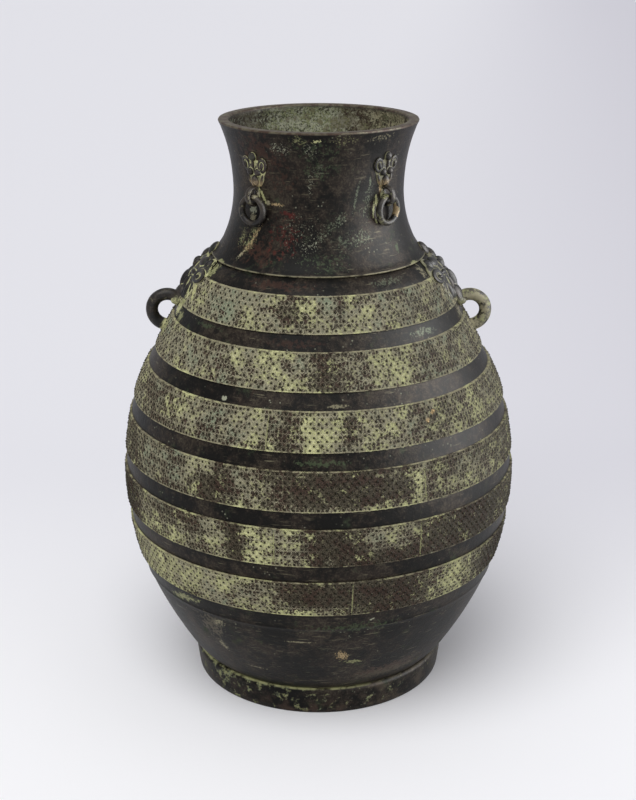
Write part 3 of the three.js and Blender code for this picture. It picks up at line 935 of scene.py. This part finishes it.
# Raised features are dark, and pale earth stays in the grooves and low parts between them
def maskMaterial():
    paint = Paint("mask_bronze")
    hollow = paint.attribute("hollow")
    rise = paint.attribute("rise")
    x, _, z = paint.axes()
    base, rough, metal, height = darkBronze(paint, 0, 0.02)
    patch = paint.noise(7, 5, 0.65, 3)
    fine = paint.noise(1.3, 4, 0.7, 7)
    low = 1 - paint.step(rise + (patch - 0.5) * 3 + (fine - 0.5) * 2, 0.4, 0.9)
    cavity = paint.step(hollow + (fine - 0.5) * 0.3, 0.6, 0.72)
    foot = 1 - paint.step(z + (fine - 0.5) * 0.012, 0.273, 0.279)
    toRight = paint.step(x, -0.03, 0.06)
    cover = cavity.larger(low).larger(foot) * (1 - toRight * 0.35)
    tone = paint.mix(paint.step(patch - toRight * 0.15, 0.36, 0.52), "buff", "bright")
    tone = paint.mix(paint.step(fine + toRight * 0.1, 0.5, 0.62) * 0.6, tone, "deposit")
    base = paint.mix(cover * 0.9, base, tone)
    chin = paint.step(z, 0.3585, 0.3615) * (1 - paint.step(z + (fine - 0.5) * 0.01, 0.3645, 0.368))
    base = paint.mix(chin * paint.step(fine, 0.38, 0.56) * 0.75, base, "tan")
    return paint.finish(base, rough + cover * 0.35, metal - cover * 0.12, height + fine * 0.3, 0.5, 0.4)


# Strap eyes and loose rings on the neck, fixed loops on the shoulder
rings = {
    "pivotRadius": 62.2, "pivotHeight": 355.4, "radius": 8.6, "bar": 2.0, "widen": 1.25, "mesh": (56, 14),
    "eyeCentre": 60.9, "eyeHeight": 355.9, "eyeRadius": 5.65, "eyeBar": 1.3, "eyeWiden": 1.65,
    "eyeRoot": (2.4, 5.4, 2.6), "rootLift": -0.4, "eyeDeep": 1.5, "eyeVoxel": 0.22,
    "earth": 0.08,  # how much more earth the right side gathers
    "flare": (-0.2, 0.8),  # the pale flare at the body fades out between these stand-offs
    "marks": [
        ("tan", 0.8, 52, 346, 3, 6, -15, 0.4, 1.6), ("deposit", 0.8, 43, 357, 3, 3, 0, 0.3, 1.6),
        ("ground", 0.7, -52, 347, 3, 9, 0, 0.3, 2), ("buff", 0.8, -41, 357, 2.4, 4, 0, 0.3, 1.6),
    ],
}
loops = {
    "centre": 104.9, "height": 267.5, "radius": 10.9, "bar": 4.25, "letIn": 1.4, "mesh": (64, 20),
    "earth": 0.24, "flare": (1.4, 3.2), "marks": [],
}


# Basis for a ring standing in the upright plane through the jar's axis, its last direction across that plane
def upright(direction, centreRadius, height, turn=0):
    angle = math.radians(direction)
    place = Vector((centreRadius * math.cos(angle), centreRadius * math.sin(angle), height)) * mm
    turned = Matrix.Rotation(angle + math.radians(turn), 4, "Z") @ Matrix.Rotation(math.pi / 2, 4, "X")
    return Matrix.Translation(place) @ turned


def cutAtBody(piece, direction):
    place = seat(direction, loops["height"], -loops["letIn"])
    bpy.context.view_layer.objects.active = piece
    edit()
    bpy.ops.mesh.bisect(plane_co=place.translation, plane_no=place.col[2].xyz, use_fill=True, clear_inner=True)
    bpy.ops.object.mode_set(mode="OBJECT")


def barMaterial(name, values):
    paint = Paint(name)
    x, _, _ = paint.axes()
    rise = paint.attribute("rise")
    base, rough, metal, height = darkBronze(paint, 0, 0)
    # more earth on the object's right side, and a pale flare where a bar meets the body
    toRight = paint.step(x, -0.03, 0.03)
    patch = paint.step(paint.noise(6, 5, 0.7, 3) + toRight * values["earth"], 0.6, 0.72)
    tone = paint.mix(paint.blots(0.42, 0.58, 2.4, 4, 0.6, 9), "ground", "deposit")
    tone = paint.mix(paint.blots(0.46, 0.6, 9, 4, 0.6, 31), tone, "buff")
    base = paint.marks(paint.mix(patch * 0.75, base, tone), values["marks"])
    root = 1 - paint.step(rise + (paint.noise(3, 4, 0.6, 13) - 0.5) * 5, *values["flare"])
    base = paint.mix(root * 0.85, base, paint.mix(toRight, "bright", "buff"))
    return paint.finish(base, rough + patch * 0.3 + root * 0.3, metal - root * 0.14, height + patch * 0.2, 0.6, 0.4)


def finished(piece, angle, name, body, slotName, material, node):
    markRise(piece)
    smooth(piece, angle)
    keep(piece, name, body, slotName, material, node)


def placeMask(shapes, direction, name, node):
    mask = makeMask(shapes, direction)
    markHollows(mask)
    finished(mask, shading["mask"], name, "jar", "mask_bronze", maskBronze, node)


print("masks, loops and rings")
maskBronze = maskMaterial()
loopBronze = barMaterial("loop_bronze", loops)
ringBronze = barMaterial("ring_bronze", rings)
for side, direction in (("right", 0), ("left", 180)):
    placeMask(shoulderMask, direction, f"shoulder_beast_{side}", f"shoulder_mask_{side}")
    place = upright(direction, loops["centre"], loops["height"])
    bail = addShape(lambda: hoop(loops["radius"], loops["bar"], *loops["mesh"]), place, (1, 1, 1))
    cutAtBody(bail, direction)
    name = f"shoulder_bail_{side}"
    finished(bail, shading["loop"], name, "jar", "loop_bronze", loopBronze, f"shoulder_loop_{side}")
corners = (("front_left", 226.5, 9), ("front_right", 316.5, 0), ("back_right", 46.5, 0), ("back_left", 136.5, 0))
for corner, direction, twist in corners:
    placeMask(neckMask, direction, f"neck_beast_{corner}", f"neck_mask_{corner}")
    place = upright(direction, rings["eyeCentre"], rings["eyeHeight"])
    eye = addShape(lambda: hoop(rings["eyeRadius"], rings["eyeBar"]), place, (1, 1, rings["eyeWiden"]))
    root = addShape(ball, seat(direction, rings["eyeHeight"], rings["rootLift"]), rings["eyeRoot"])
    lug = joined(eye, root)
    raiseBuried(lug, rings["eyeDeep"])
    lug = remeshed(lug, rings["eyeVoxel"])
    finished(lug, shading["mask"], f"neck_lug_{corner}", "jar", "loop_bronze", ringBronze, f"neck_eye_{corner}")
    place = upright(direction, rings["pivotRadius"], rings["pivotHeight"] - rings["radius"], 90 + twist)
    hung = addShape(lambda: hoop(rings["radius"], rings["bar"], *rings["mesh"]), place, (1, 1, rings["widen"]))
    name = f"neck_hoop_{corner}"
    finished(hung, shading["cast"], name, f"ring_{corner}", "ring_bronze", ringBronze, f"neck_ring_{corner}")


# Floor, light and camera
studio = {
    "floorSize": 24,
    # painted light and shade on the floor: lighter to the left, a painted shadow to the right, painted light in front
    "floorLitLeft": colour(224, 224, 229),
    "floorShadedRight": colour(203, 202, 210),
    "floorLitFront": colour(247, 247, 249),
    "floorLitFrontRight": colour(240, 240, 243),
    "lens": 66.4,
    "sensor": 36,
    "near": 0.02,
    "eye": (-0.0004, -0.9883, 0.5496),
    "pitch": 70.54,
    "sunFrom": (-0.32, -0.75, 1.6),
    "sunPower": 1.9,
    "sunWidth": 50,
    "panelFrom": (1.05, -0.25, 0.5),  # the panel only shows as a sheen on the bronze
    "panelWide": 1.2,
    "panelTall": 1.4,
    "panelPower": 54,
    "aim": (0, 0, 0.2),
    "world": (0.97, 0.97, 1, 1),
    "worldPower": 0.52,
    "backdrop": colour(226, 226, 231),
}


def floorMaterial():
    paint = Paint("studio_floor")
    x, y, _ = paint.axes()
    # the floor's colour paints its light: painted shade darker to the right, painted light brighter towards the front
    across = paint.step(x * 0.9 - y * 0.12, -0.35, 0.6)
    shade = paint.mix(across, studio["floorLitLeft"], studio["floorShadedRight"])
    near = paint.mix(across, studio["floorLitFront"], studio["floorLitFrontRight"])
    shade = paint.mix(1 - paint.step(y, -0.15, 0.42), shade, near)
    shader = paint.node("BsdfPrincipled", {}, {"Base Color": shade, "Roughness": 0.9, "Metallic": 0})
    paint.node("OutputMaterial", {}, {"Surface": shader.outputs[0]})
    return paint.material


def lamp(name, light, place):
    made = bpy.data.objects.new(name, light)
    bpy.context.scene.collection.objects.link(made)
    made.location = place
    made.rotation_euler = (Vector(studio["aim"]) - Vector(place)).to_track_quat("-Z", "Y").to_euler()
    return made


print("studio")
pick()
bpy.ops.mesh.primitive_plane_add(size=studio["floorSize"], location=(0, 0, 0))
floor = bpy.context.object
floor.name = "studio_floor"
floor.data.materials.append(floorMaterial())
sun = bpy.data.lights.new("key_light", "SUN")
sun.energy = studio["sunPower"]
sun.angle = math.radians(studio["sunWidth"])
lamp("key_light", sun, studio["sunFrom"])
panel = bpy.data.lights.new("sheen_panel", "AREA")
panel.shape = "RECTANGLE"
panel.size = studio["panelWide"]
panel.size_y = studio["panelTall"]
panel.energy = studio["panelPower"]
sheen = lamp("sheen_panel", panel, studio["panelFrom"])
sheen.visible_diffuse = False
sheen.visible_camera = False
world = bpy.data.worlds.new("studio_world")
bpy.context.scene.world = world
world.use_nodes = True
sky = world.node_tree
glow = sky.nodes["Background"]
glow.inputs["Color"].default_value = studio["world"]
glow.inputs["Strength"].default_value = studio["worldPower"]
# the camera sees a paler backdrop than the light that falls on the jar
backdrop = sky.nodes.new("ShaderNodeBackground")
backdrop.inputs["Color"].default_value = studio["backdrop"]
path = sky.nodes.new("ShaderNodeLightPath")
either = sky.nodes.new("ShaderNodeMixShader")
sky.links.new(path.outputs["Is Camera Ray"], either.inputs[0])
sky.links.new(glow.outputs[0], either.inputs[1])
sky.links.new(backdrop.outputs[0], either.inputs[2])
sky.links.new(either.outputs[0], sky.nodes["World Output"].inputs["Surface"])
view = bpy.data.cameras.new("camera")
view.lens = studio["lens"]
view.sensor_width = studio["sensor"]
view.clip_start = studio["near"]
camera = bpy.data.objects.new("camera", view)
bpy.context.scene.collection.objects.link(camera)
camera.location = studio["eye"]
camera.rotation_euler = (math.radians(studio["pitch"]), 0, 0)
bpy.context.scene.camera = camera
bpy.context.scene.view_settings.view_transform = "Standard"
